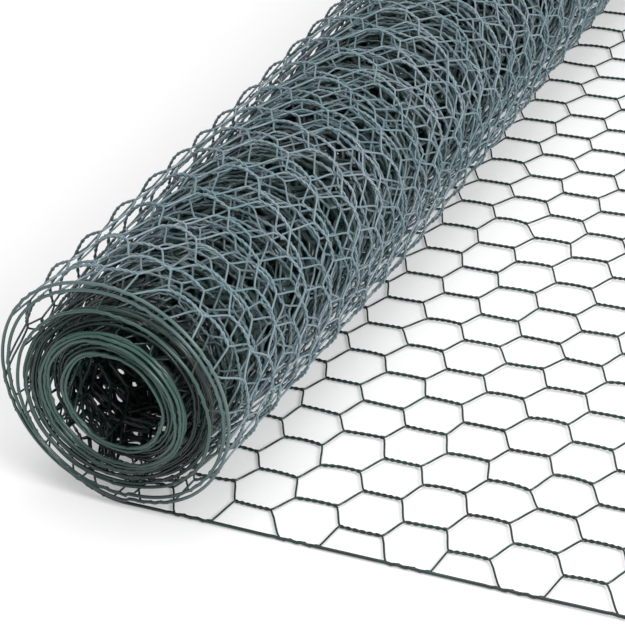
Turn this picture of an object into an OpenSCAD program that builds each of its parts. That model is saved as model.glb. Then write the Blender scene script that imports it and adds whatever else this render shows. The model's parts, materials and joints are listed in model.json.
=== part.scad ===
// Roll of hexagonal wire netting (chicken wire), lying on the floor with its
// outer end unrolled into a flat tail. X runs along the netting, Y along the
// axis of the roll, and Z is up. The origin is at the middle of the footprint.

/* [Netting] */
// Width of the netting, which is the length of the roll
net_w = 600; // [150:1:750]
// Nominal size of a cell across the netting
mesh_size = 25; // [20:1:40]
// Length of one twisted side of a cell
twist_len = 18.5; // [8:0.1:21]
// Spacing of the columns of twisted sides along the netting
column_pitch = 24.2; // [23:0.1:40]
// Thickness of a twisted side, which is two coated wires
twist_d = 1.8; // [1:0.1:3]
// Thickness of a single coated wire
wire_d = 0.9; // [0.5:0.05:1.5]
// Distance from the middle of a selvage wire to the outermost row of cells
selvage_gap = 3.6; // [2:0.1:6]

/* [Tight coil] */
// Outer diameter of the tightly wound coil
coil_d = 88; // [80:0.5:140]
// Diameter of the open bore through the coil
bore_d = 44; // [20:0.5:50]
// Number of turns in the tight coil
coil_turns = 19; // [6:1:22]
// Width of the groove between two turns on the ends
turn_gap = 0.4; // [0.2:0.05:0.6]
// Depth of the groove between two turns on the ends
turn_gap_depth = 1.5; // [0.5:0.1:5]

/* [Loose turns] */
// Gap between two layers of netting below the coil
layer_gap = 2; // [0.3:0.1:3]
// Gap above the coil, inside the two loose turns
slack = 8.2; // [4:0.2:20]
// Gap between the two loose turns, above the coil
turn_slack = 1.4; // [0.8:0.1:4]

/* [Tail] */
// Number of columns of twisted sides in the flat tail
tail_columns = 18; // [6:1:30]
// Distance from the axis of the roll to the tail's first column
first_column = 3.3; // [0:0.1:9]

/* [Hidden] */
smooth = 96;
overlap = 0.01;

// Cells across the netting, between its two selvage wires
cell_rows = round(net_w / mesh_size);
cell_w = (net_w - twist_d - 2 * selvage_gap) / cell_rows;

// One slanted side of a cell, from the end of one twisted side to the next
slant_run = column_pitch - twist_len;
slant_rise = cell_w / 2;
slant_len = sqrt(slant_run ^ 2 + slant_rise ^ 2);

// Heights of the layers that lie below the coil, at their middles
tail_z = twist_d / 2;
second_z = tail_z + twist_d + layer_gap;
third_z = second_z + twist_d + layer_gap;

// The coil lies on the third layer, inside the two loose turns
coil_z = third_z + twist_d / 2 + coil_d / 2;
inner_top_z = coil_z + coil_d / 2 + slack + twist_d / 2;
outer_top_z = inner_top_z + twist_d + turn_slack;

// The four half turns of the spiral, from the floor inwards
outer_left_r = (outer_top_z - tail_z) / 2;
outer_right_r = (outer_top_z - second_z) / 2;
inner_left_r = (inner_top_z - second_z) / 2;
inner_right_r = (inner_top_z - third_z) / 2;

// The tail is cut off half way along the slanted sides past its last column
last_column = first_column + (tail_columns - 1) * column_pitch;
tail_len = last_column + twist_len / 2 + slant_run / 2;
roll_x = (outer_left_r + twist_d / 2 - tail_len) / 2;

// The tail is stored in three lengths, which meet in the middle of a column
root_columns = round(tail_columns / 3);
middle_columns = round(tail_columns * 2 / 3);

function column_x(column) = roll_x + first_column + column * column_pitch;

module along_roll() {
    translate([roll_x, net_w / 2, 0])
        rotate([90, 0, 0])
            children();
}

// Tight coil: one turned solid with its bore, and a groove on each end
// between one turn and the next
module coil() {
    turn_pitch = (coil_d - bore_d) / 2 / coil_turns;
    color("darkslategray")
        along_roll()
            translate([0, coil_z, 0])
                rotate_extrude($fn = smooth)
                    difference() {
                        translate([bore_d / 2, 0])
                            square([(coil_d - bore_d) / 2, net_w]);
                        for (turn = [1 : coil_turns - 1])
                            for (end_y = [-overlap, net_w - turn_gap_depth])
                                translate([bore_d / 2 + turn * turn_pitch - turn_gap / 2, end_y])
                                    square([turn_gap, turn_gap_depth + overlap]);
                    }
}

// Half a loose turn, to the left (-1) or right (1) of the roll's axis, with
// the middle of its layer at height low_z where it is lowest
module half_turn(radius, low_z, side) {
    outer_r = radius + twist_d / 2;
    translate([0, low_z + radius, 0])
        intersection() {
            difference() {
                cylinder(r = outer_r, h = net_w, $fn = smooth);
                translate([0, 0, -1])
                    cylinder(r = radius - twist_d / 2, h = net_w + 2, $fn = smooth);
            }
            translate([side < 0 ? -outer_r - 1 : 0, -outer_r - 1, -1])
                cube([outer_r + 1, 2 * outer_r + 2, net_w + 2]);
        }
}

// The two loose turns around the coil, from the tail up and inwards
module loose_turns() {
    color("darkcyan")
        along_roll() {
            half_turn(outer_left_r, tail_z, -1);
            half_turn(outer_right_r, second_z, 1);
            half_turn(inner_left_r, second_z, -1);
            half_turn(inner_right_r, third_z, 1);
        }
}

// How far the inner edge of a slanted side is from the middle of its cell,
// at a height y above or below the cell's two tips
function slant_edge(y) =
    twist_len / 2 + slant_run - wire_d * slant_len / cell_w - y * slant_run / slant_rise;

// The open hexagon of one cell, from low_y to high_y around its two tips
module cell_hole(low_y, high_y) {
    low_x = slant_edge(-low_y);
    high_x = slant_edge(high_y);
    tip_x = slant_edge(0);
    polygon([
        [-low_x, low_y], [low_x, low_y], [tip_x, 0],
        [high_x, high_y], [-high_x, high_y], [-tip_x, 0]
    ]);
}

// The open half cell between a twisted side and the selvage wire below it
module edge_hole() {
    low_y = twist_d / 2 - selvage_gap;
    high_y = (cell_w - twist_d) / 2;
    low_x = slant_edge(low_y);
    high_x = slant_edge(high_y);
    polygon([[-low_x, low_y], [low_x, low_y], [high_x, high_y], [-high_x, high_y]]);
}

// All the open cells whose middle is in one column. In even columns the
// twisted sides lie half a cell in from the selvage, in odd columns on it
module column_holes(column) {
    free_y = (cell_w - twist_d) / 2;
    if (column % 2 == 0) {
        for (row = [1 : cell_rows - 1])
            translate([column_x(column), (row - cell_rows / 2) * cell_w])
                cell_hole(-free_y, free_y);
        for (flip = [0, 1])
            mirror([0, flip])
                translate([column_x(column), -cell_rows / 2 * cell_w])
                    edge_hole();
    } else {
        for (row = [1 : cell_rows]) {
            low_y = row == 1 ? -free_y - selvage_gap : -free_y;
            high_y = row == cell_rows ? free_y + selvage_gap : free_y;
            translate([column_x(column), (row - (cell_rows + 1) / 2) * cell_w])
                cell_hole(low_y, high_y);
        }
    }
}

// A length of the flat tail, from one X to another, with the cells of the
// columns that it reaches cut out of it
module tail_length(from_x, to_x, columns) {
    color("teal")
        linear_extrude(twist_d)
            difference() {
                translate([from_x, -net_w / 2])
                    square([to_x - from_x, net_w]);
                for (column = columns)
                    column_holes(column);
            }
}

module tail_root() {
    tail_length(roll_x, column_x(root_columns), [-1 : root_columns]);
}

module tail_middle() {
    tail_length(column_x(root_columns), column_x(middle_columns),
                [root_columns : middle_columns]);
}

module tail_end() {
    tail_length(column_x(middle_columns), roll_x + tail_len,
                [middle_columns : tail_columns]);
}

coil();
loose_turns();
tail_root();
tail_middle();
tail_end();
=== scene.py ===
"""Roll of green coated chicken wire, with its outer end unrolled on the floor.

The netting is woven here wire by wire, as the real one is. Every wire runs the
whole length of the netting, and is twisted with its left and its right
neighbour in turn. A wire's points are worked out on the flat netting, as
u along it, v across it and w above it, and then bent along the spiral of the
roll. u is 0 where the tail leaves the floor and turns up into the roll.
"""

import json
import math

import bpy
import numpy as np
from mathutils import Matrix, Vector


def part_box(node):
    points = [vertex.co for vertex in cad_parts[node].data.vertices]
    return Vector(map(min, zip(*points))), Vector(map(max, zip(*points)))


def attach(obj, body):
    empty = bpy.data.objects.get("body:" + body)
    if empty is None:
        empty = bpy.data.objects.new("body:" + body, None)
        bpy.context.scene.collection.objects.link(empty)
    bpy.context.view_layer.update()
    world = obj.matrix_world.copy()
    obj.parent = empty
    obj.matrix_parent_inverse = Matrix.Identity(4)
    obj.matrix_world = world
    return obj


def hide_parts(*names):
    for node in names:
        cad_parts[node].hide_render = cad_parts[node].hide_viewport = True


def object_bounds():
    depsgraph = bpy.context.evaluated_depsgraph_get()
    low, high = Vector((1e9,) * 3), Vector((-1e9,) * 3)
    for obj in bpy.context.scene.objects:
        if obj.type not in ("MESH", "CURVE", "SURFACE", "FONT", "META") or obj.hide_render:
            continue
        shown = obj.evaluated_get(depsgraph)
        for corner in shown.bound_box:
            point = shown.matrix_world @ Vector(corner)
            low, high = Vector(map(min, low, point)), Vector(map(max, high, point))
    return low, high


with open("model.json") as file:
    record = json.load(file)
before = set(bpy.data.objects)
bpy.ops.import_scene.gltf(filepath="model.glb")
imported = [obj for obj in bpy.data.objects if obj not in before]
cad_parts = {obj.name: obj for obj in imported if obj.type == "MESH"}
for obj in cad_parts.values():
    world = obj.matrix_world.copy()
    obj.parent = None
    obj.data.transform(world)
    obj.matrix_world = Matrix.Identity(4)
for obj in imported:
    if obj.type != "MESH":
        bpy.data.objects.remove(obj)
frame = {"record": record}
cad_low, cad_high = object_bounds()

MM = 0.001
rng = np.random.default_rng(7)

# ---------------------------------------------------------------- sizes

# The netting, with the sizes that part.scad gives it
CELL_ROWS = 24
TWIST_LEN = 18.5 * MM
COLUMN_PITCH = 24.2 * MM
FIRST_COLUMN = 3.3 * MM
TAIL_COLUMNS = 18
SELVAGE_GAP = 3.6 * MM
TURN_SLACK = 1.4 * MM
COIL_TURNS = 19
WIRE_R = 0.45 * MM

# Radii that only this script has: of the selvages, and of the wires in the
# coil's hidden turns, from the bore outwards. The hidden wires are thicker than
# the real one, to make the bore look dark, and thin to WIRE_R near the ends
SELVAGE_R = 0.7 * MM
CORE_R = (0.9 * MM, 1.5 * MM, 0.6 * MM)
END_TAPER = (2 * MM, 20 * MM)

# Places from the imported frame
coil_low, coil_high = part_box("coil")
loose_low, loose_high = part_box("loose_turns")
tail_low, tail_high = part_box("tail_root")
BORE = next(m for m in frame["record"]["mounts"] if m["name"] == "bore")
ROLL_X = BORE["pos_m"][0]
COIL_Z = BORE["pos_m"][2]
BORE_R = BORE["dims"]["r_mm"] * MM
COIL_R = (coil_high.z - coil_low.z) / 2
LAYER = tail_high.z - tail_low.z
TAIL_Z = LAYER / 2
NEAR_Y = cad_low.y + LAYER / 2
FAR_Y = cad_high.y - LAYER / 2
FIRST_ROW_Y = NEAR_Y + SELVAGE_GAP
CELL_W = (FAR_Y - NEAR_Y - 2 * SELVAGE_GAP) / CELL_ROWS
TURN_PITCH = (COIL_R - BORE_R) / COIL_TURNS

# ---------------------------------------------------------------- the spiral


def smooth_step(value, low, high):
    t = np.clip((value - low) / (high - low), 0, 1)
    return t * t * (3 - 2 * t)


def smooth_noise(length, step, amplitude, seed):
    """A function of u that wanders smoothly by about amplitude, once a step."""
    values = np.random.default_rng(seed).normal(0, amplitude, int(length / step) + 8)

    def noise(u):
        place = np.asarray(u) / step % (len(values) - 4)
        low = np.floor(place).astype(int)
        t = place - low
        t = t * t * (3 - 2 * t)
        return values[low] * (1 - t) + values[low + 1] * t

    return noise


# How wide the gap inside each turn of the coil is, against the average gap.
# The turns lie in bands, with a wider gap between one band and the next
TURN_GAPS = np.array([1.4, 1.2, 1.5, 1.2, 1.3, 1.1, 0.9, 0.8, 0.6, 0.7,
                      0.7, 0.6, 0.7, 0.7, 1.2, 1.6, 1.3, 0.9, 0.6])
# How far back each turn stands from the near end, in millimetres: in an outer
# band at the upper right, in an inner band at the lower left, and all round
OUTER_BAND = np.array([0, 6, 11, 13, 12, 13, 10, 6, 2, 0, 0, 0, 0, 0, 0, 0, 0, 0, 0, 0]) * MM
INNER_BAND = np.array([0, 0, 0, 0, 0, 0, 0, 0, 0, 0, 0, 0, 2, 6, 7, 6, 4, 1, 0, 0]) * MM
TURN_RECESS = np.array([-0.6, 1.4, 0.8, 2.3, 0.4, 1.9, 0.3, 2.2, -0.9, 1.6,
                        -0.4, 1.8, -1.1, 0.9, 0.2, 1.4, 0.6, -0.2, 0.9, -0.7]) * MM
TURN_INSETS = np.concatenate([[0], np.cumsum(TURN_GAPS)])
TURN_INSETS *= COIL_TURNS / TURN_INSETS[-1]


# The roll has settled: the coil's outer turns spread out to the lower left,
# and the loose turns are pressed against them there, the inner one less so
BULGE = 3.6 * MM
BULGE_TURNS = 12
PRESSED = 0.058
INNER_RELIEF = 0.4
LOWER_LEFT = math.radians(52)
LOWER_LEFT_POWER = 1.3

# Points on a half turn of the path and on its flat part, and where along u the
# flat part is. It reaches past the end of the tail
HALF_TURN_POINTS = 400
TAIL_POINTS = 200
TAIL_PATH = (1 * MM, 1000 * MM)

# Where in a turn it starts to shift sideways to the next turn's place, and
# where the outer band stands back the least
SHIFT_START = 0.82
BAND_START = 0.14


def lower_left(angle):
    """1 where a turn is at the roll's lower left, and 0 a quarter turn away."""
    return np.clip(np.cos(angle - LOWER_LEFT), 0, 1) ** LOWER_LEFT_POWER


def loose_path():
    """The two loose turns, from the tail inwards: x from the roll's axis, and z."""
    third_z = coil_low.z - LAYER / 2 - BULGE * lower_left(0)
    second_z = (TAIL_Z + third_z) / 2
    outer_top = loose_high.z - LAYER / 2
    inner_top = outer_top - LAYER - TURN_SLACK
    half_turns = [
        (TAIL_Z, outer_top),
        (second_z, outer_top),
        (second_z, inner_top),
        (third_z, inner_top),
    ]
    xs, zs = [], []
    for half, (low, high) in enumerate(half_turns):
        angle = np.linspace(half, half + 1, HALF_TURN_POINTS, endpoint=False) * math.pi
        radius = (high - low) / 2
        from_floor = smooth_step(angle - half * math.pi, 0, 0.5)
        share = 1 - INNER_RELIEF * (half > 1)
        pressed = 1 - PRESSED * lower_left(angle) * from_floor * share
        xs.append(-radius * np.sin(angle) * pressed)
        zs.append(COIL_Z + (low + radius - radius * np.cos(angle) - COIL_Z) * pressed)
    return np.concatenate(xs), np.concatenate(zs)


def coil_path(turn):
    """The coil at numbers of turns in from its outside: x from the axis, and z."""
    angle = turn * 2 * math.pi
    inset = np.interp(turn, np.arange(COIL_TURNS + 1), TURN_INSETS)
    radius = COIL_R + LAYER / 2 - TURN_PITCH * inset
    radius += BULGE * lower_left(angle) * np.clip(1 - turn / BULGE_TURNS, 0, 1)
    return -radius * np.sin(angle), COIL_Z - radius * np.cos(angle)


def coil_recess(turn):
    """How far the coil is moved back along the roll, at numbers of turns in."""
    settled = np.floor(turn) + smooth_step(turn % 1, SHIFT_START, 1)
    all_round, outer_band, inner_band = (
        np.interp(settled, np.arange(COIL_TURNS + 1), values)
        for values in (TURN_RECESS, OUTER_BAND, INNER_BAND)
    )
    upper_right = 0.5 - 0.5 * np.cos((turn - BAND_START) * 2 * math.pi)
    return all_round + outer_band * upper_right + inner_band * (1 - upper_right)


def spiral_path():
    """The netting's cross-section as u, x and z, from the bore to past the tail,
    and how far each of its points is moved back along the roll."""
    turn = np.linspace(0, COIL_TURNS, COIL_TURNS * 2 * HALF_TURN_POINTS)
    loose_x, loose_z = loose_path()
    coil_x, coil_z = coil_path(turn)
    x = ROLL_X + np.concatenate([loose_x, coil_x])[::-1]
    z = np.concatenate([loose_z, coil_z])[::-1]
    u = np.concatenate([[0], np.cumsum(np.hypot(np.diff(x), np.diff(z)))])
    u -= u[-1]
    recess = coil_recess(turn)
    recess = np.concatenate([np.linspace(0, recess[0], len(loose_x)), recess])[::-1]
    tail_u = np.linspace(*TAIL_PATH, TAIL_POINTS)
    return (np.concatenate([u, tail_u]),
            np.concatenate([x, ROLL_X + tail_u]),
            np.concatenate([z, np.full(TAIL_POINTS, TAIL_Z)]),
            np.concatenate([recess, np.zeros(TAIL_POINTS)]))


PATH_U, PATH_X, PATH_Z, PATH_RECESS = spiral_path()
SLOPE_X = np.gradient(PATH_X, PATH_U)
SLOPE_Z = np.gradient(PATH_Z, PATH_U)
LAST_COLUMN = TAIL_COLUMNS - 1

# Length of the outermost turn. The two loose turns together are a little
# shorter than two of these, and the coil starts after them
OUTER_TURN = math.pi * (loose_high.z - loose_low.z - LAYER)
LOOSE_SHARE = 0.965
COIL_START = PATH_U[np.argmin(np.abs(PATH_U + 2 * OUTER_TURN * LOOSE_SHARE))]

# How the netting wanders along u: sideways, outwards, in where its cells lie,
# and in how the tail lifts. Each repeats after about NOISE_LENGTH metres
NOISE_LENGTH = 6
drift = smooth_noise(NOISE_LENGTH, 0.11, 0.7 * MM, 11)
swell = smooth_noise(NOISE_LENGTH, 0.09, 0.5 * MM, 12)
stray = smooth_noise(NOISE_LENGTH, 0.13, 0.5, 14)
ripple = smooth_noise(NOISE_LENGTH, 0.11, 0.5, 13)

# Rows of cells stray along the roll. Fades are shares of the netting's width,
# in from its nearer selvage
STRAY = 4.0 * MM
STRAY_LENGTH = 0.15
STRAY_FADE = (0.002, 0.03)
# The coil's outer turns are puffed out. Rise and turns are turns into the coil
PUFF = 4.5 * MM
PUFF_RISE = (-0.4, 0.1)
PUFF_TURNS = 8
PUFF_FADE = (0, 0.12)
# Joints of the loose turns stand out from the slanted sides between them
PUCKER = 0.8 * MM
PUCKER_FADE = (0.005, 0.05)
# Where the loose turns and the slack end, in turns in from the tail
LOOSE_FADE = (1.6, 2)
SLACK_FADE = (1.6, 8)
# The slack turns are wider at the far end, and moved over by up to SAG
FLARE = 0.10
SAG = 4.5 * MM
SAG_AT_NEAR_END = 0.2
SAG_DEPTH = 0.35
# The tail lifts, and lies askew to the roll from SKEW_START before it
TAIL_LIFT = 0.25 * MM
SKEW = math.radians(0.76)
SKEW_START = 0.15
# The wound netting is shifted along the path, to bring its joints into place
STRETCH = -9.3 * MM
# Lengths of netting over which the wound part, the lift and the shift set in
WOUND_WITHIN = 50 * MM
LIFT_WITHIN = 80 * MM
STRETCH_WITHIN = 110 * MM

INNER_END = PATH_U[0] - STRETCH + 4 * MM
FIRST_WOUND = math.ceil((INNER_END - FIRST_COLUMN + TWIST_LEN / 2) / COLUMN_PITCH)


def uneven(u, v, w, depth, wound):
    """v and w of points on the flat netting, moved as wound netting lies."""
    from_edge = 0.5 - np.abs(depth - 0.5)
    turns_in = -u / OUTER_TURN
    # Cells of one turn don't lie over those of the next
    rows_off = np.sin(2 * math.pi * (v / STRAY_LENGTH + stray(u)))
    v = v + STRAY * wound * smooth_step(from_edge, *STRAY_FADE) * rows_off
    # Away from the ends, the coil's outer turns are looser than at its ends
    in_coil = turns_in - 2
    puffed = smooth_step(in_coil, *PUFF_RISE) * np.clip(1 - in_coil / PUFF_TURNS, 0, 1)
    w = w - PUFF * puffed * smooth_step(from_edge, *PUFF_FADE)
    loose = wound * (1 - smooth_step(turns_in, *LOOSE_FADE))
    joint = (u - FIRST_COLUMN) / COLUMN_PITCH
    pucker = loose * smooth_step(from_edge, *PUCKER_FADE) * np.cos(2 * math.pi * joint)
    return v, w - PUCKER * pucker


def askew(u, v):
    """u and v of points, with the tail a little askew to the roll."""
    easing = np.clip(u / SKEW_START + 1, 0, 1)
    v_skewed = v + SKEW * (np.maximum(u, 0) + SKEW_START / 2)
    v_skewed = v_skewed - SKEW * SKEW_START / 2 * (1 - easing ** 2)
    return u - SKEW * (v - NEAR_Y) * easing ** 2 * (3 - 2 * easing), v_skewed


def bend(u, v, w):
    """Points of the flat netting, bent to the roll, and their upward normals."""
    depth = (v - NEAR_Y) / (FAR_Y - NEAR_Y)
    wound = np.clip(-u / WOUND_WITHIN, 0, 1)
    slack = wound * (1 - smooth_step(-u / OUTER_TURN, *SLACK_FADE))
    flat = np.clip(u / LIFT_WITHIN, 0, 1)
    v, w = uneven(u, v, w, depth, wound)
    u, v = askew(u, v)
    u = u + STRETCH * smooth_step(-u, 0, STRETCH_WITHIN)

    tangent = np.stack([np.interp(u, PATH_U, SLOPE_X), np.interp(u, PATH_U, SLOPE_Z)], -1)
    tangent /= np.linalg.norm(tangent, axis=-1, keepdims=True)
    normal = np.stack([-tangent[..., 1], np.zeros_like(u), tangent[..., 0]], -1)
    w = w + wound * swell(u + 0.5 * depth)
    w = w + flat * TAIL_LIFT * (1 + ripple(u + 1.3 * depth)) ** 2
    x = np.interp(u, PATH_U, PATH_X) + w * normal[..., 0]
    sag = SAG_AT_NEAR_END + (1 - SAG_AT_NEAR_END) * smooth_step(depth, 0, SAG_DEPTH)
    x = x + slack * (FLARE * depth * (x - ROLL_X) + SAG * sag)
    z = np.interp(u, PATH_U, PATH_Z) + w * normal[..., 2]
    y = v + wound * drift(u) + np.interp(u, PATH_U, PATH_RECESS)
    return np.stack([x, y, z], -1), normal


# ---------------------------------------------------------------- the weave

# First columns of the outer and the inner loose turn, and of the coil's outer
# turns. Column 0 is the tail's first, and the numbers fall towards the bore
OUTER_FIRST = -14
INNER_FIRST = -27
CRUST_FIRST = INNER_FIRST - 23

# Each joint, where two wires are twisted, is off its place by a little, and
# by more in the coil. The joints at the selvages run straight along them
COIL_ERROR = 2.5
SELVAGE_LEAD = 4 * MM
JOINT_SHAPE = (LAST_COLUMN - FIRST_WOUND + 3, 2 * CELL_ROWS + 1)
JOINT_DU = rng.normal(0, 0.55 * MM, JOINT_SHAPE)
JOINT_DV = rng.normal(0, 0.45 * MM, JOINT_SHAPE)
JOINT_TILT = rng.normal(0, math.radians(2.2), JOINT_SHAPE)
JOINT_LEN = TWIST_LEN * rng.uniform(0.92, 1.06, JOINT_SHAPE)
JOINT_BOW = rng.normal(0.45 * MM, 0.5 * MM, JOINT_SHAPE)
JOINT_DU[:INNER_FIRST - FIRST_WOUND] *= COIL_ERROR
JOINT_DV[:INNER_FIRST - FIRST_WOUND] *= COIL_ERROR
for selvage_row in (0, -1):
    JOINT_DU[:, selvage_row] += SELVAGE_LEAD
    for off in (JOINT_DV, JOINT_TILT, JOINT_BOW):
        off[:, selvage_row] = 0

# How far a wire is from the middle of its joint, or of the selvage it wraps
JOINT_REACH = 0.4 * MM
WRAP_REACH = 0.6 * MM

# A slanted side is as long as SLANT_TRIM less than its number of ring spacings.
# Its first ring is SLANT_LEAD of a spacing along it, and its last at SLANT_LAST
# of its length at most
SLANT_LEAD = 0.15
SLANT_TRIM = 0.2
SLANT_LAST = 0.97
# How much of a slanted side's rise is eased at its ends
EASED = 0.35


def joints(wire, column):
    """The joint of each wire in each column: its two ends, the side that the
    wire is on, how far it reaches from the middle, and how far it bows.

    The rows of joints are numbered in half cells from the near selvage, so
    row 0 and the last row are where the outermost wires wrap the selvages."""
    row = np.where(column % 2 == 0, wire | 1, (wire + 1) & ~1)
    side = np.sign(wire + 0.5 - row)
    at = (column - FIRST_WOUND, row)
    v = FIRST_ROW_Y + row * CELL_W / 2 + JOINT_DV[at]
    v = np.where(row == 0, NEAR_Y, np.where(row == 2 * CELL_ROWS, FAR_Y, v))
    u = FIRST_COLUMN + column * COLUMN_PITCH + JOINT_DU[at]
    half = JOINT_LEN[at] / 2
    du, dv = half * np.cos(JOINT_TILT[at]), half * np.sin(JOINT_TILT[at])
    wraps = (row == 0) | (row == 2 * CELL_ROWS)
    reach = np.where(wraps, WRAP_REACH, JOINT_REACH)
    return (u - du, v - dv), (u + du, v + dv), side, reach, JOINT_BOW[at]


def woven(wires, columns, twist_rings, slant_rings, turns, joined):
    """Points (u, v, w) of the wires over the columns: (wire, ring, 3)."""
    wire, column = np.meshgrid(wires, columns, indexing="ij")
    start, end, side, reach, bow = joints(wire, column)
    after, _, side_after, reach_after, _ = joints(wire, column + 1)
    t = np.arange(twist_rings) / twist_rings
    hand = np.where(column % 2 == 0, 1, -1)
    phase = 2 * math.pi * turns * t * hand[..., None]
    offset = (side * reach)[..., None]
    twist = np.stack([
        start[0][..., None] + (end[0] - start[0])[..., None] * t,
        start[1][..., None] + (end[1] - start[1])[..., None] * t + offset * np.cos(phase)
        + bow[..., None] * 4 * t * (1 - t),
        offset * np.sin(phase),
    ], -1)
    t = (np.arange(slant_rings) + SLANT_LEAD) / (slant_rings - SLANT_TRIM)
    t = np.clip(t, 0, SLANT_LAST)
    # The wire leaves one joint and enters the next along the netting
    run = (after[0] - end[0])[..., None]
    rise = (after[1] + side_after * reach_after - end[1] - side * reach)[..., None]
    ease = t * t * (3 - 2 * t)
    slant = np.stack([
        end[0][..., None] + run * t,
        (end[1] + side * reach)[..., None] + rise * (EASED * ease + (1 - EASED) * t),
        np.zeros(run.shape[:-1] + t.shape),
    ], -1)
    rings = np.concatenate([twist, slant], 2).reshape(len(wires), -1, 3)
    if not joined:
        return rings
    # The last ring is where the next length of the netting begins
    last = np.stack([after[0], after[1] + side_after * reach_after, np.zeros(wire.shape)], -1)
    return np.concatenate([rings, last[:, -1:]], 1)


# The share of its full height that a joint lies inside its arc, and the length
# of netting outside the coil over which that fades to nothing
CHORD_SHARE = 0.55
CHORD_WITHIN = 50 * MM


def chord_sag(u):
    """How far a stiff joint lies inside the arc that it is bent to."""
    place = (u - FIRST_COLUMN) / COLUMN_PITCH
    off_middle = np.abs(place - np.round(place)) * COLUMN_PITCH / (TWIST_LEN / 2)
    curvature = np.interp(u, [PATH_U[0], COIL_START, COIL_START + CHORD_WITHIN],
                          [1 / BORE_R, 1 / COIL_R, 0])
    return CHORD_SHARE * TWIST_LEN ** 2 / 8 * curvature * np.clip(1 - off_middle ** 2, 0, 1)


# ---------------------------------------------------------------- meshes


def tube_rings(points, normals, radius, sides):
    """The corners around each tube: (tube, ring, side, 3)."""
    radius = np.broadcast_to(radius, points.shape[:2])[..., None, None]
    # A tube with few sides is as wide on average as the round wire
    radius = radius * math.pi / sides / math.sin(math.pi / sides)
    tangent = np.gradient(points, axis=1)
    aside = np.cross(tangent, normals)
    aside /= np.linalg.norm(aside, axis=-1, keepdims=True)
    up = np.cross(aside, tangent)
    up /= np.linalg.norm(up, axis=-1, keepdims=True)
    angle = np.arange(sides) * 2 * math.pi / sides
    ring = (np.cos(angle)[:, None] * aside[:, :, None]
            + np.sin(angle)[:, None] * up[:, :, None])
    corners = points[:, :, None] + radius * ring
    corners[..., 2] = np.maximum(corners[..., 2], cad_low.z)
    return corners


def tube_faces(count, rings, sides):
    """The numbers of the corners of the tubes' quads, and of their end caps."""
    tube, at, side = np.meshgrid(np.arange(count), np.arange(rings - 1),
                                 np.arange(sides), indexing="ij")
    here = (tube * rings + at) * sides
    beside = (side + 1) % sides
    quads = np.stack([here + side, here + sides + side,
                      here + sides + beside, here + beside], -1).reshape(-1)
    first = (np.arange(count) * rings)[:, None] * sides
    last = first + (rings - 1) * sides
    order = np.arange(sides)
    caps = np.stack([first + order, last + order[::-1]], 1).reshape(-1)
    return quads, caps


def tubes(name, points, normals, radius, sides, material):
    """One mesh of closed round tubes along rows of points: (tube, ring, 3).

    The radius is one for all rings, or has one value for each: (tube, ring)."""
    count, rings = points.shape[:2]
    corners = tube_rings(points, normals, radius, sides)
    quads, caps = tube_faces(count, rings, sides)
    quad_count = len(quads) // 4
    loops = np.concatenate([quads, caps])
    starts = np.concatenate([np.arange(quad_count) * 4,
                             quad_count * 4 + np.arange(2 * count) * sides])
    smooth = np.ones(len(starts), bool)
    smooth[quad_count:] = False

    mesh = bpy.data.meshes.new(name)
    mesh.vertices.add(count * rings * sides)
    mesh.vertices.foreach_set("co", corners.reshape(-1).astype(np.float32))
    mesh.loops.add(len(loops))
    mesh.loops.foreach_set("vertex_index", loops.astype(np.int32))
    mesh.polygons.add(len(starts))
    mesh.polygons.foreach_set("loop_start", starts.astype(np.int32))
    mesh.polygons.foreach_set("use_smooth", smooth)
    mesh.update(calc_edges=True)
    mesh.materials.append(material)
    piece = bpy.data.objects.new(name, mesh)
    bpy.context.scene.collection.objects.link(piece)
    return piece


def netting(name, wires, columns, detail, material, joined):
    """A length of the netting, as one mesh of all its wires.

    Each wire of a joined length runs up to the start of the next length."""
    twist_rings, slant_rings, turns, sides, wire_r = detail
    flat = woven(wires, columns, twist_rings, slant_rings, turns, joined)
    u, v, w = flat[..., 0], flat[..., 1], flat[..., 2]
    points, normals = bend(u, v, w + chord_sag(u))
    from_end = np.minimum(v - NEAR_Y, FAR_Y - v)
    wire_r = WIRE_R + (wire_r - WIRE_R) * smooth_step(from_end, *END_TAPER)
    return tubes(name, points, normals, wire_r, sides, material)


# The selvage wire has a ring every SELVAGE_STEP, and ends this share of a
# twisted side past the last column. It gives way to the wire that wraps it
SELVAGE_STEP = 2.5 * MM
SELVAGE_SIDES = 6
SELVAGE_PAST = 0.62
SELVAGE_REACH = 0.2 * MM
SELVAGE_CHORD = 0.5
WRAP_TURNS = 3


def selvage(name, y, side, columns, material):
    """The heavier wire along one edge, which the outermost wire wraps."""
    end = FIRST_COLUMN + columns[-1] * COLUMN_PITCH + TWIST_LEN * SELVAGE_PAST
    u = np.arange(INNER_END, end, SELVAGE_STEP)
    place = (u - FIRST_COLUMN) / COLUMN_PITCH
    column = np.round(place).astype(int)
    along = (place - column) * COLUMN_PITCH / TWIST_LEN + 0.5
    wrapped = (column % 2 != 0) & (along > 0) & (along < 1)
    phase = -2 * math.pi * WRAP_TURNS * along
    reach = np.where(wrapped, SELVAGE_REACH, 0)
    v = y - side * reach * np.cos(phase)
    w = -side * reach * np.sin(phase)
    points, normals = bend(u, v, w + SELVAGE_CHORD * chord_sag(u))
    return tubes(name, points[None], normals[None], SELVAGE_R, SELVAGE_SIDES, material)


# ---------------------------------------------------------------- materials

# The coating's own dark greens, a lighter green painted as light on the raised parts of the
# roll's end edges, and the pale grey-greens painted as light where the outside of the roll is
# lit
COATING_DARK = (0.011, 0.019, 0.019)
COATING_GREEN = (0.014, 0.040, 0.034)
END_LIT_GREEN = (0.036, 0.082, 0.068)
LIT_PALE_GREEN = (0.115, 0.190, 0.213)
LIT_PALE_GREY = (0.195, 0.250, 0.280)
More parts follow.
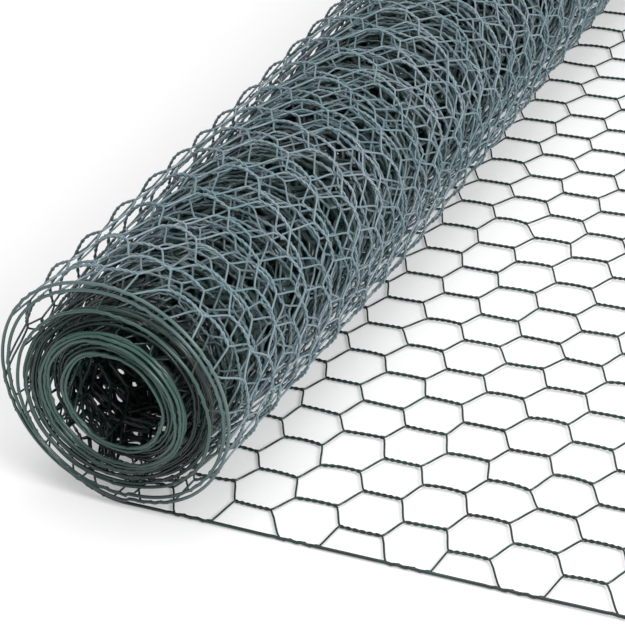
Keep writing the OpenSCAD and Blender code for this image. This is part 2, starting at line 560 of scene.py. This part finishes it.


# Where the pale painted light goes: far from the roll's axis, off the floor, and not at the
# roll's left, which is left in painted shade, as are the depth of the roll and the tail on the
# floor. Near its ends, points count as END_INSET nearer to the axis, for painted shade between
# the turns there
OUTSIDE = (34 * MM, 49 * MM)
OFF_FLOOR = (2 * MM, 22 * MM)
LIT_SIDE = (ROLL_X - 72 * MM, ROLL_X - 12 * MM)
NEAR_END = (FAR_Y - 35 * MM, FAR_Y - 8 * MM)
END_INSET = 9 * MM
# The selvages get the lighter painted green where they are off the floor, and less of the pale
# painted light
EDGE = (FAR_Y - 3.5 * MM, FAR_Y - 0.5 * MM)
EDGE_OFF_FLOOR = (2 * MM, 48 * MM)
EDGE_LESS_LIT = 0.65

# Patches of the coating's own greens and of the pale painted light, then the grain, roughness
# and bumps of the coating
PATCH_SCALE, PATCH_DETAIL = 30, 5
COATING_PATCHES = (0.35, 0.65)
LIT_PATCHES = (0.3, 0.7)
GRAIN_SCALE, GRAIN_DETAIL = 900, 2
ROUGHNESS = (0.14, 0.32)
BUMP_STRENGTH = 0.55
BUMP_HEIGHT = 0.08 * MM
COATING_IOR = 1.5


def ramp(tree, value, low, high):
    """A smooth step of a value from 0 at low to 1 at high."""
    step = tree.nodes.new("ShaderNodeMapRange")
    step.interpolation_type = "SMOOTHSTEP"
    step.inputs["From Min"].default_value = low
    step.inputs["From Max"].default_value = high
    tree.links.new(value, step.inputs["Value"])
    return step.outputs["Result"]


def combine(tree, operation, first, second=0):
    """A maths node on two values, each of them a number or a socket."""
    node = tree.nodes.new("ShaderNodeMath")
    node.operation = operation
    for socket, value in zip(node.inputs, (first, second)):
        if isinstance(value, (int, float)):
            socket.default_value = value
        else:
            tree.links.new(value, socket)
    return node.outputs["Value"]


def mix(tree, factor, first, second):
    """A blend of two colours, each of them a tuple or a socket."""
    node = tree.nodes.new("ShaderNodeMix")
    node.data_type = "RGBA"
    tree.links.new(factor, node.inputs["Factor"])
    for name, value in (("A", first), ("B", second)):
        socket = [i for i in node.inputs if i.name == name and i.type == "RGBA"][0]
        if isinstance(value, tuple):
            socket.default_value = (*value, 1)
        else:
            tree.links.new(value, socket)
    return [o for o in node.outputs if o.type == "RGBA"][0]


def noise(tree, place, scale, detail):
    node = tree.nodes.new("ShaderNodeTexNoise")
    node.inputs["Scale"].default_value = scale
    node.inputs["Detail"].default_value = detail
    tree.links.new(place, node.inputs["Vector"])
    return node.outputs["Fac"]


def painted_light_masks(tree, place):
    """How much pale painted light a point gets, and how far it is on the ends' edge of lighter
    painted green.
    """
    split = tree.nodes.new("ShaderNodeSeparateXYZ")
    tree.links.new(place, split.inputs["Vector"])
    x, y, z = (split.outputs[axis] for axis in "XYZ")
    right = combine(tree, "SUBTRACT", x, ROLL_X)
    up = combine(tree, "SUBTRACT", z, COIL_Z)
    radius = combine(tree, "SQRT",
                     combine(tree, "ADD",
                             combine(tree, "MULTIPLY", right, right),
                             combine(tree, "MULTIPLY", up, up)))
    to_end = combine(tree, "ABSOLUTE", y)
    near_end = ramp(tree, to_end, *NEAR_END)
    depth = combine(tree, "SUBTRACT", radius, combine(tree, "MULTIPLY", near_end, END_INSET))
    outside = ramp(tree, depth, *OUTSIDE)
    # Pale painted light on the outside of the roll, off the floor and away from its shaded
    # left; the rest keeps the dark coating as painted shade
    painted_lit = combine(tree, "MULTIPLY", outside, ramp(tree, z, *OFF_FLOOR))
    painted_lit = combine(tree, "MULTIPLY", painted_lit, ramp(tree, x, *LIT_SIDE))
    # The ends' edges get the lighter painted green and less of the pale painted light
    edge = combine(tree, "MULTIPLY", ramp(tree, to_end, *EDGE), ramp(tree, z, *EDGE_OFF_FLOOR))
    edge_less_lit = combine(tree, "MULTIPLY", edge, EDGE_LESS_LIT)
    painted_lit = combine(tree, "MULTIPLY", painted_lit, combine(tree, "SUBTRACT", 1, edge_less_lit))
    return painted_lit, edge


def coating_colour(tree, place):
    """Patchy dark green, with pale painted light where the roll is lit and painted shade left
    in its depth.
    """
    painted_lit, edge = painted_light_masks(tree, place)
    patches = noise(tree, place, PATCH_SCALE, PATCH_DETAIL)
    # The coating's own greens, and the pale painted light that is laid over them where the
    # roll is lit
    own_green = mix(tree, ramp(tree, patches, *COATING_PATCHES), COATING_DARK, COATING_GREEN)
    painted_pale = mix(tree, ramp(tree, patches, *LIT_PATCHES), LIT_PALE_GREEN, LIT_PALE_GREY)
    return mix(tree, painted_lit, mix(tree, edge, own_green, END_LIT_GREEN), painted_pale)


def coated_wire():
    """Glossy green coating, with pale painted light on the outside of the roll."""
    material = bpy.data.materials.new("coated_wire")
    material.use_nodes = True
    tree = material.node_tree
    shader = tree.nodes["Principled BSDF"]
    place = tree.nodes.new("ShaderNodeTexCoord").outputs["Object"]
    tree.links.new(coating_colour(tree, place), shader.inputs["Base Color"])

    grain = noise(tree, place, GRAIN_SCALE, GRAIN_DETAIL)
    rough = tree.nodes.new("ShaderNodeMapRange")
    rough.inputs["To Min"].default_value, rough.inputs["To Max"].default_value = ROUGHNESS
    tree.links.new(grain, rough.inputs["Value"])
    tree.links.new(rough.outputs["Result"], shader.inputs["Roughness"])
    bump = tree.nodes.new("ShaderNodeBump")
    bump.inputs["Strength"].default_value = BUMP_STRENGTH
    bump.inputs["Distance"].default_value = BUMP_HEIGHT
    tree.links.new(grain, bump.inputs["Height"])
    tree.links.new(bump.outputs["Normal"], shader.inputs["Normal"])
    shader.inputs["IOR"].default_value = COATING_IOR
    return material


def plain(name, colour, roughness, glow):
    """One colour all over, with a white glow of its own."""
    material = bpy.data.materials.new(name)
    material.use_nodes = True
    shader = material.node_tree.nodes["Principled BSDF"]
    shader.inputs["Base Color"].default_value = (*colour, 1)
    shader.inputs["Roughness"].default_value = roughness
    shader.inputs["Emission Color"].default_value = (1, 1, 1, 1)
    shader.inputs["Emission Strength"].default_value = glow
    return material


# ---------------------------------------------------------------- the roll

wire_finish = coated_wire()
all_wires = np.arange(2 * CELL_ROWS)
near_wires, far_wires = np.split(all_wires, 2)

# Columns of joints in the tail, in each loose turn, and in the coil
tail_columns = np.arange(0, TAIL_COLUMNS)
outer_columns = np.arange(OUTER_FIRST, 0)
inner_columns = np.arange(INNER_FIRST, OUTER_FIRST)
crust_columns = np.arange(CRUST_FIRST, INNER_FIRST)
core_lengths = np.array_split(np.arange(FIRST_WOUND, CRUST_FIRST), len(CORE_R))

# Rings on a twisted side, rings on a slanted side, turns of the twist, sides,
# and the wire's radius
FINE = (14, 4, 3, 6, WIRE_R)
MEDIUM = (10, 4, 3, 6, WIRE_R)
COARSE = (8, 3, 3, 5, WIRE_R)
CORE = [(5, 2, 2, 4, radius) for radius in CORE_R]

TAIL_NODES = ("tail_root", "tail_middle", "tail_end")
LOOSE_NODES = ("loose_turns",)
COIL_NODES = ("coil",)

# Name, wires, columns, detail, whether it joins on to the next length, nodes
lengths = [
    ("tail_near_half", near_wires, tail_columns, FINE, False, TAIL_NODES),
    ("tail_far_half", far_wires, tail_columns, FINE, False, TAIL_NODES),
    ("outer_loose_turn", all_wires, outer_columns, MEDIUM, True, LOOSE_NODES),
    ("inner_loose_turn", all_wires, inner_columns, MEDIUM, True, LOOSE_NODES),
    ("coil_outer_turns", all_wires, crust_columns, COARSE, True, COIL_NODES),
]
for number, (columns, detail) in enumerate(zip(core_lengths, CORE), 1):
    lengths.append((f"coil_turns_{number}", all_wires, columns, detail, True, COIL_NODES))

pieces = []
for name, wires, columns, detail, joined, nodes in lengths:
    length = netting(name, wires, columns, detail, wire_finish, joined)
    pieces.append((length, nodes))
for name, y, side in (("near_selvage", NEAR_Y, 1), ("far_selvage", FAR_Y, -1)):
    edge = selvage(name, y, side, tail_columns, wire_finish)
    pieces.append((edge, COIL_NODES + LOOSE_NODES + TAIL_NODES))

for piece, nodes in pieces:
    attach(piece, "root")
    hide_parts(*nodes)

# ---------------------------------------------------------------- the stage

FLOOR_HALF = 12.0
FLOOR_BELOW = 0.2 * MM
FLOOR_GREY = (0.64, 0.64, 0.64)
FLOOR_ROUGHNESS = 0.9
FLOOR_GLOW = 0.28
WORLD_LIGHT = 0.55

floor_mesh = bpy.data.meshes.new("floor")
corners = [(-FLOOR_HALF, -FLOOR_HALF, 0), (FLOOR_HALF, -FLOOR_HALF, 0),
           (FLOOR_HALF, FLOOR_HALF, 0), (-FLOOR_HALF, FLOOR_HALF, 0)]
floor_mesh.from_pydata(corners, [], [(0, 1, 2, 3)])
floor_mesh.materials.append(plain("floor", FLOOR_GREY, FLOOR_ROUGHNESS, FLOOR_GLOW))
floor = bpy.data.objects.new("floor", floor_mesh)
bpy.context.scene.collection.objects.link(floor)
floor.location.z = cad_low.z - FLOOR_BELOW


def softbox(name, place, aim, size, power):
    """A square area light at place, turned towards aim."""
    data = bpy.data.lights.new(name, "AREA")
    data.shape = "SQUARE"
    data.size = size
    data.energy = power
    light = bpy.data.objects.new(name, data)
    light.location = place
    light.rotation_euler = (Vector(aim) - Vector(place)).to_track_quat("-Z", "Y").to_euler()
    bpy.context.scene.collection.objects.link(light)


softbox("key", place=(1.35, -0.75, 1.1), aim=(-0.15, -0.1, 0), size=0.7, power=26)
softbox("top", place=(-0.15, 0.0, 2.0), aim=(-0.2, 0, 0), size=1.6, power=22)

world = bpy.data.worlds.new("studio")
world.use_nodes = True
background = world.node_tree.nodes["Background"]
background.inputs["Color"].default_value = (1, 1, 1, 1)
background.inputs["Strength"].default_value = WORLD_LIGHT
bpy.context.scene.world = world
bpy.context.scene.view_settings.view_transform = "Standard"


def camera(aim, azimuth, elevation, roll, distance, lens):
    """A camera that looks down at aim from azimuth, turned by roll on its axis."""
    azimuth, elevation, roll = map(math.radians, (azimuth, elevation, roll))
    back = Vector((math.sin(azimuth) * math.cos(elevation),
                   -math.cos(azimuth) * math.cos(elevation), math.sin(elevation)))
    level = Vector((0, 0, 1)).cross(back).normalized()
    upright = back.cross(level)
    right = level * math.cos(roll) + upright * math.sin(roll)
    up = back.cross(right)
    data = bpy.data.cameras.new("camera")
    data.lens = lens
    data.sensor_width = 36
    data.clip_start = 0.05
    made = bpy.data.objects.new("camera", data)
    turned = Matrix((right, up, back)).transposed().to_4x4()
    made.matrix_world = Matrix.Translation(aim + back * distance) @ turned
    bpy.context.scene.collection.objects.link(made)
    return made


aim = Vector((ROLL_X + 10.4 * MM, cad_low.y + 167.0 * MM, cad_low.z))
bpy.context.scene.camera = camera(aim, azimuth=26.99, elevation=32.18, roll=-4.15,
                                  distance=1.0263, lens=122.73)
